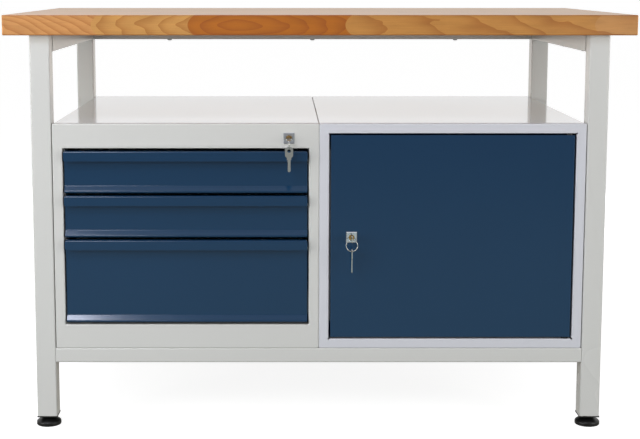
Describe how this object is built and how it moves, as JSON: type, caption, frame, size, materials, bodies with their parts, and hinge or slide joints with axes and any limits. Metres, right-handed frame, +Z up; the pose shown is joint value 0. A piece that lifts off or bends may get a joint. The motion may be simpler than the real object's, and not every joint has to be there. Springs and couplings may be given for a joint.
{
  "type": "workbench with drawers",
  "caption": "Steel workbench with a thick wooden top on square tube legs, a unit of lockable drawers on the left and a cupboard with a hinged door on the right.",
  "frame": {"origin": "On the floor, under the middle of the whole outline, hanging keys included; the worktop's middle is 12.5 mm behind it.", "axes": "+X to the right seen from the front, +Y to the rear, +Z up; the front looks along -Y."},
  "size_m": [1.25, 0.7249, 0.84],
  "materials": {
    "light_grey_paint": "fine semi-gloss powder coat",
    "cool_grey_paint": "fine semi-gloss powder coat",
    "blue_paint": "fine semi-gloss powder coat",
    "beech": "oiled, of glued staves",
    "black_plastic": "moulded, matt",
    "black_rubber": "matt",
    "zinc_plate": "bright zinc plating",
    "chrome_plate": "polished",
    "brass": "turned",
    "nickel_plate": "stamped and plated"
  },
  "bodies": {
    "bench": {"leg_front_left": "light_grey_paint", "leg_front_right": "light_grey_paint", "leg_rear_left": "light_grey_paint", "leg_rear_right": "light_grey_paint", "top_side_rails": "light_grey_paint", "top_rear_rail": "light_grey_paint", "bottom_side_rails": "light_grey_paint", "bottom_long_rails": "light_grey_paint", "leg_end_plugs": "black_plastic", "worktop": "beech", "worktop_screws": "zinc_plate", "drawer_unit_casing": "light_grey_paint", "drawer_unit_floor": "light_grey_paint", "drawer_unit_back": "light_grey_paint", "drawer_unit_front_frame": "light_grey_paint", "drawer_slide_posts": "light_grey_paint", "drawer_slide_outer_members": "zinc_plate", "drawer_lock_body": "chrome_plate", "locking_bar_guides": "black_plastic", "cupboard_casing": "light_grey_paint", "cupboard_floor": "light_grey_paint", "cupboard_back": "light_grey_paint", "cupboard_front_frame": "cool_grey_paint", "cupboard_strike": "cool_grey_paint", "door_bumpers": "black_rubber", "cupboard_shelf": "light_grey_paint", "shelf_clips": "zinc_plate", "door_pivot_pins": "zinc_plate", "unit_bolts": "zinc_plate"},
    "foot_front_left": {"foot_front_left": "black_plastic"},
    "foot_front_right": {"foot_front_right": "black_plastic"},
    "foot_rear_left": {"foot_rear_left": "black_plastic"},
    "foot_rear_right": {"foot_rear_right": "black_plastic"},
    "bottom_drawer": {"bottom_drawer_front": "blue_paint", "bottom_drawer_box": "light_grey_paint", "bottom_drawer_runners": "zinc_plate"},
    "bottom_slide_middle": {"bottom_slide_middle_members": "zinc_plate"},
    "middle_drawer": {"middle_drawer_front": "blue_paint", "middle_drawer_box": "light_grey_paint", "middle_drawer_runners": "zinc_plate"},
    "middle_slide_middle": {"middle_slide_middle_members": "zinc_plate"},
    "top_drawer": {"top_drawer_front": "blue_paint", "top_drawer_box": "light_grey_paint", "top_drawer_runners": "zinc_plate"},
    "top_slide_middle": {"top_slide_middle_members": "zinc_plate"},
    "drawer_lock_plug": {"drawer_lock_plug": "brass", "drawer_lock_cam": "zinc_plate"},
    "locking_bar": {"drawer_locking_bar": "zinc_plate"},
    "drawer_key": {"drawer_key": "nickel_plate"},
    "drawer_key_ring": {"drawer_key_ring": "nickel_plate"},
    "drawer_spare_key": {"drawer_spare_key": "nickel_plate"},
    "cupboard_door": {"cupboard_door": "blue_paint", "door_stiffener": "blue_paint", "door_pivot_bushes": "black_plastic", "door_lock_body": "chrome_plate"},
    "door_lock_plug": {"door_lock_plug": "brass", "door_lock_cam": "zinc_plate"},
    "door_key": {"door_key": "nickel_plate"},
    "door_key_ring": {"door_key_ring": "nickel_plate"},
    "door_spare_key": {"door_spare_key": "nickel_plate"}
  },
  "joints": [
    {"name": "drawer_bottom_slide", "type": "slide", "parent": "bench", "child": "bottom_drawer", "axis": [0, -1, 0], "range_m": [0, 0.6]},
    {"name": "drawer_bottom_middle_member", "type": "slide", "parent": "bench", "child": "bottom_slide_middle", "axis": [0, -1, 0], "range_m": [0, 0.3]},
    {"name": "drawer_middle_slide", "type": "slide", "parent": "bench", "child": "middle_drawer", "axis": [0, -1, 0], "range_m": [0, 0.6]},
    {"name": "drawer_middle_middle_member", "type": "slide", "parent": "bench", "child": "middle_slide_middle", "axis": [0, -1, 0], "range_m": [0, 0.3]},
    {"name": "drawer_top_slide", "type": "slide", "parent": "bench", "child": "top_drawer", "axis": [0, -1, 0], "range_m": [0, 0.6]},
    {"name": "drawer_top_middle_member", "type": "slide", "parent": "bench", "child": "top_slide_middle", "axis": [0, -1, 0], "range_m": [0, 0.3]},
    {"name": "cupboard_door_hinge", "type": "hinge", "parent": "bench", "child": "cupboard_door", "pos_m": [0.5005, -0.3145, 0.3945], "axis": [0, 0, 1], "range_deg": [0, 110]},
    {"name": "lock_drawers_turn", "type": "hinge", "parent": "bench", "child": "drawer_lock_plug", "pos_m": [-0.0605, -0.3125, 0.5955], "axis": [0, 1, 0], "range_deg": [0, 90]},
    {"name": "locking_bar_lift", "type": "slide", "parent": "bench", "child": "locking_bar", "axis": [0, 0, 1], "range_m": [0, 0.008]},
    {"name": "lock_door_turn", "type": "hinge", "parent": "cupboard_door", "child": "door_lock_plug", "pos_m": [0.0655, -0.3125, 0.3945], "axis": [0, 1, 0], "range_deg": [0, 90]},
    {"name": "key_drawers_pull", "type": "slide", "parent": "drawer_lock_plug", "child": "drawer_key", "axis": [0, -1, 0], "range_m": [0, 0.028]},
    {"name": "key_door_pull", "type": "slide", "parent": "door_lock_plug", "child": "door_key", "axis": [0, -1, 0], "range_m": [0, 0.028]},
    {"name": "ring_drawers_swing", "type": "hinge", "parent": "drawer_key", "child": "drawer_key_ring", "pos_m": [-0.0605, -0.35015, 0.59793], "axis": [0, 1, 0], "range_deg": [-12, 12]},
    {"name": "ring_door_swing", "type": "hinge", "parent": "door_key", "child": "door_key_ring", "pos_m": [0.0655, -0.3437, 0.39243], "axis": [-1, 0, 0], "range_deg": [-5, 45]},
    {"name": "spare_key_drawers_swing", "type": "hinge", "parent": "drawer_key_ring", "child": "drawer_spare_key", "pos_m": [-0.0605, -0.35015, 0.57493], "axis": [0, 1, 0], "range_deg": [-25, 25]},
    {"name": "spare_key_door_swing", "type": "hinge", "parent": "door_key_ring", "child": "door_spare_key", "pos_m": [0.0655, -0.3437, 0.36943], "axis": [-1, 0, 0], "range_deg": [-10, 45]},
    {"name": "turn_foot_front_left", "type": "hinge", "parent": "bench", "child": "foot_front_left", "pos_m": [-0.555, -0.3025, 0], "axis": [0, 0, 1], "continuous": true},
    {"name": "turn_foot_front_right", "type": "hinge", "parent": "bench", "child": "foot_front_right", "pos_m": [0.555, -0.3025, 0], "axis": [0, 0, 1], "continuous": true},
    {"name": "turn_foot_rear_left", "type": "hinge", "parent": "bench", "child": "foot_rear_left", "pos_m": [-0.555, 0.3275, 0], "axis": [0, 0, 1], "continuous": true},
    {"name": "turn_foot_rear_right", "type": "hinge", "parent": "bench", "child": "foot_rear_right", "pos_m": [0.555, 0.3275, 0], "axis": [0, 0, 1], "continuous": true}
  ],
  "couplings": [
    {"joint": "drawer_bottom_middle_member", "follows": "drawer_bottom_slide", "ratio": 0.5},
    {"joint": "drawer_middle_middle_member", "follows": "drawer_middle_slide", "ratio": 0.5},
    {"joint": "drawer_top_middle_member", "follows": "drawer_top_slide", "ratio": 0.5},
    {"joint": "lock_drawers_turn", "follows": "locking_bar_lift", "rad_per_m": 196.35}
  ]
}
